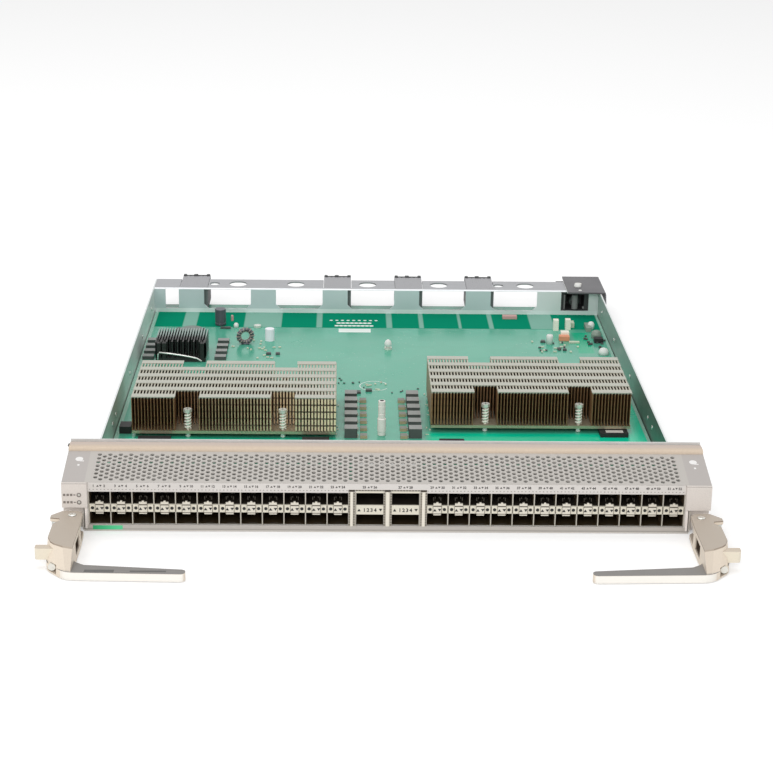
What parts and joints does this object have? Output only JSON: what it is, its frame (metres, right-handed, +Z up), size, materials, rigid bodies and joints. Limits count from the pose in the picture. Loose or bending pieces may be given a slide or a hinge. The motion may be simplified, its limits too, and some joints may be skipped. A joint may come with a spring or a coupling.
{
  "type": "switch line card",
  "caption": "Line card for a modular network switch: port panel in front, ejector levers, finned heat sinks on an open board, and a rear beam with backplane connectors.",
  "frame": {"origin": "middle of the tray's front bottom edge, in the plane of the port panel's front face", "axes": "+X to the right along the port panel as seen from the front, +Y to the rear where the card plugs in, +Z up from the tray's underside"},
  "size_m": [0.4468, 0.6052, 0.0464],
  "materials": {
    "tray_steel": "satin plated sheet",
    "board_laminate": "green solder resist",
    "spacer_brass": "turned",
    "screw_steel": "bright plated",
    "beam_steel": "satin plated sheet",
    "panel_paint": "satin plated sheet",
    "screen_steel": "perforated sheet",
    "rail_steel": "satin sheet",
    "gasket_fabric": "conductive woven skin",
    "bracket_paint": "satin plated sheet",
    "cage_steel": "thin bright sheet",
    "wall_steel": "thin bright sheet",
    "strip_plastic": "cream moulding",
    "socket_black": "matt moulding",
    "latch_steel": "thin spring sheet",
    "plug_grey": "ribbed moulding",
    "guide_cast": "cast",
    "sleeve_steel": "turned",
    "cover_paint": "dark satin sheet",
    "sink_base_metal": "milled",
    "fin_metal": "dark bronze stack",
    "tie_strip_metal": "champagne folded tops",
    "spring_steel": "coiled wire",
    "package_black": "matt moulding",
    "sink_black": "black anodised",
    "clip_wire": "bent wire",
    "ferrite_grey": "pressed ferrite",
    "can_metal": "drawn can",
    "socket_cream": "moulding",
    "post_nickel": "turned post",
    "lever_cast": "cast, satin",
    "pin_steel": "turned",
    "button_plastic": "moulding"
  },
  "bodies": {
    "card": {"chassis_tray": "tray_steel", "main_circuit_board": "board_laminate", "board_standoffs": "spacer_brass", "pan_head_screws": "screw_steel", "rear_beam": "beam_steel", "faceplate": "panel_paint", "perforated_screen": "screen_steel", "gasket_rail": "rail_steel", "emi_gasket": "gasket_fabric", "left_end_bracket": "bracket_paint", "right_end_bracket": "bracket_paint", "left_cage_shell": "cage_steel", "right_cage_shell": "cage_steel", "qsfp_cage_shell": "cage_steel", "left_cage_dividers": "wall_steel", "right_cage_dividers": "wall_steel", "qsfp_cage_dividers": "wall_steel", "left_port_separators": "strip_plastic", "right_port_separators": "strip_plastic", "qsfp_port_separators": "strip_plastic", "left_host_connectors": "socket_black", "right_host_connectors": "socket_black", "qsfp_host_connectors": "socket_black", "port_latches": "latch_steel", "backplane_connector_1": "plug_grey", "backplane_connector_2": "plug_grey", "backplane_connector_3": "plug_grey", "backplane_connector_4": "plug_grey", "guide_block": "guide_cast", "guide_sleeve": "sleeve_steel", "guide_cover": "cover_paint", "left_heat_sink_base": "sink_base_metal", "right_heat_sink_base": "sink_base_metal", "left_heat_sink_fins": "fin_metal", "right_heat_sink_fins": "fin_metal", "left_heat_sink_strips": "tie_strip_metal", "right_heat_sink_strips": "tie_strip_metal", "heat_sink_screws": "screw_steel", "heat_sink_springs": "spring_steel", "left_switch_chip": "package_black", "right_switch_chip": "package_black", "small_heat_sink": "sink_black", "small_heat_sink_clip": "clip_wire", "power_inductors": "ferrite_grey", "power_stages": "package_black", "surface_chips": "package_black", "can_capacitors": "can_metal", "board_sockets": "socket_cream", "tall_standoff": "post_nickel", "lever_pivot_pins": "pin_steel"},
    "left_lever": {"left_lever": "lever_cast", "left_latch_screw": "screw_steel", "left_release_spring": "spring_steel"},
    "left_release": {"left_release_button": "button_plastic"},
    "right_lever": {"right_lever": "lever_cast", "right_latch_screw": "screw_steel", "right_release_spring": "spring_steel"},
    "right_release": {"right_release_button": "button_plastic"}
  },
  "joints": [
    {"name": "left_lever_pivot", "type": "hinge", "parent": "card", "child": "left_lever", "pos_m": [-0.2058, -0.0125, 0.008], "axis": [0, 0, -1], "range_deg": [0, 60]},
    {"name": "left_release_press", "type": "slide", "parent": "left_lever", "child": "left_release", "axis": [1, 0, 0], "range_m": [0, 0.003], "stiffness_N_per_m": 600, "springref_m": -0.002, "deforming": ["left_release_spring"]},
    {"name": "right_lever_pivot", "type": "hinge", "parent": "card", "child": "right_lever", "pos_m": [0.2058, -0.0125, 0.008], "axis": [0, 0, 1], "range_deg": [0, 60]},
    {"name": "right_release_press", "type": "slide", "parent": "right_lever", "child": "right_release", "axis": [-1, 0, 0], "range_m": [0, 0.003], "stiffness_N_per_m": 600, "springref_m": -0.002, "deforming": ["right_release_spring"]}
  ]
}
